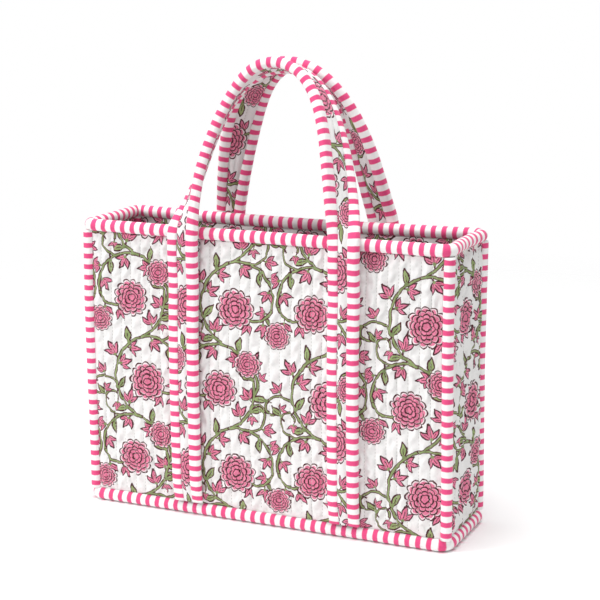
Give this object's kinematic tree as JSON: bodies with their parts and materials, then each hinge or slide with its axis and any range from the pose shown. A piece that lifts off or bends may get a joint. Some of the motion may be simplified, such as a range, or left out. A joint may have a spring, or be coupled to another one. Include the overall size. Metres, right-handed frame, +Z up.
{
  "type": "knitting bag",
  "caption": "Open box-shaped quilted cotton tote with striped rolled edges and two padded strap handles that swing out over its front and back.",
  "frame": {"origin": "on the floor under the middle of the bag", "axes": "+Z up, -Y towards the front panel, +X to the right as seen from the front, along the bag's length"},
  "size_m": [0.404, 0.133, 0.4617],
  "materials": {
    "printed_cotton": "matt plain-weave cotton with a pink and green floral block print, quilted in upright channels",
    "printed_lining": "matt plain-weave cotton lining with the same print",
    "striped_binding": "matt cotton with even pink and white stripes across the roll",
    "cotton_wadding": "undyed cotton wadding, hidden",
    "filler_cord": "undyed soft cotton filler cord, hidden"
  },
  "bodies": {
    "bag": {"back_left_corner_binding": "striped_binding", "back_left_corner_filler_cord": "filler_cord", "back_left_leg_backing": "printed_lining", "back_left_leg_face": "printed_cotton", "back_left_leg_inner_binding": "striped_binding", "back_left_leg_outer_binding": "striped_binding", "back_left_leg_wadding": "cotton_wadding", "back_panel_lining": "printed_lining", "back_panel_print": "printed_cotton", "back_panel_wadding": "cotton_wadding", "back_right_corner_binding": "striped_binding", "back_right_corner_filler_cord": "filler_cord", "back_right_leg_backing": "printed_lining", "back_right_leg_face": "printed_cotton", "back_right_leg_inner_binding": "striped_binding", "back_right_leg_outer_binding": "striped_binding", "back_right_leg_wadding": "cotton_wadding", "base_binding": "striped_binding", "base_filler_cord": "filler_cord", "base_panel_lining": "printed_lining", "base_panel_print": "printed_cotton", "base_panel_wadding": "cotton_wadding", "front_left_corner_binding": "striped_binding", "front_left_corner_filler_cord": "filler_cord", "front_left_leg_backing": "printed_lining", "front_left_leg_face": "printed_cotton", "front_left_leg_inner_binding": "striped_binding", "front_left_leg_outer_binding": "striped_binding", "front_left_leg_wadding": "cotton_wadding", "front_panel_lining": "printed_lining", "front_panel_print": "printed_cotton", "front_panel_wadding": "cotton_wadding", "front_right_corner_binding": "striped_binding", "front_right_corner_filler_cord": "filler_cord", "front_right_leg_backing": "printed_lining", "front_right_leg_face": "printed_cotton", "front_right_leg_inner_binding": "striped_binding", "front_right_leg_outer_binding": "striped_binding", "front_right_leg_wadding": "cotton_wadding", "left_panel_lining": "printed_lining", "left_panel_print": "printed_cotton", "left_panel_wadding": "cotton_wadding", "right_panel_lining": "printed_lining", "right_panel_print": "printed_cotton", "right_panel_wadding": "cotton_wadding", "rim_binding": "striped_binding", "rim_filler_cord": "filler_cord"},
    "front_handle": {"front_handle_backing": "printed_lining", "front_handle_face": "printed_cotton", "front_handle_inner_binding": "striped_binding", "front_handle_outer_binding": "striped_binding", "front_handle_wadding": "cotton_wadding"},
    "back_handle": {"back_handle_backing": "printed_lining", "back_handle_face": "printed_cotton", "back_handle_inner_binding": "striped_binding", "back_handle_outer_binding": "striped_binding", "back_handle_wadding": "cotton_wadding"}
  },
  "joints": [
    {"name": "front_handle_swing", "type": "hinge", "parent": "bag", "child": "front_handle", "pos_m": [0, -0.06757, 0.298], "axis": [1, 0, 0], "range_deg": [0, 190]},
    {"name": "back_handle_swing", "type": "hinge", "parent": "bag", "child": "back_handle", "pos_m": [0, 0.06757, 0.298], "axis": [-1, 0, 0], "range_deg": [0, 185]}
  ]
}
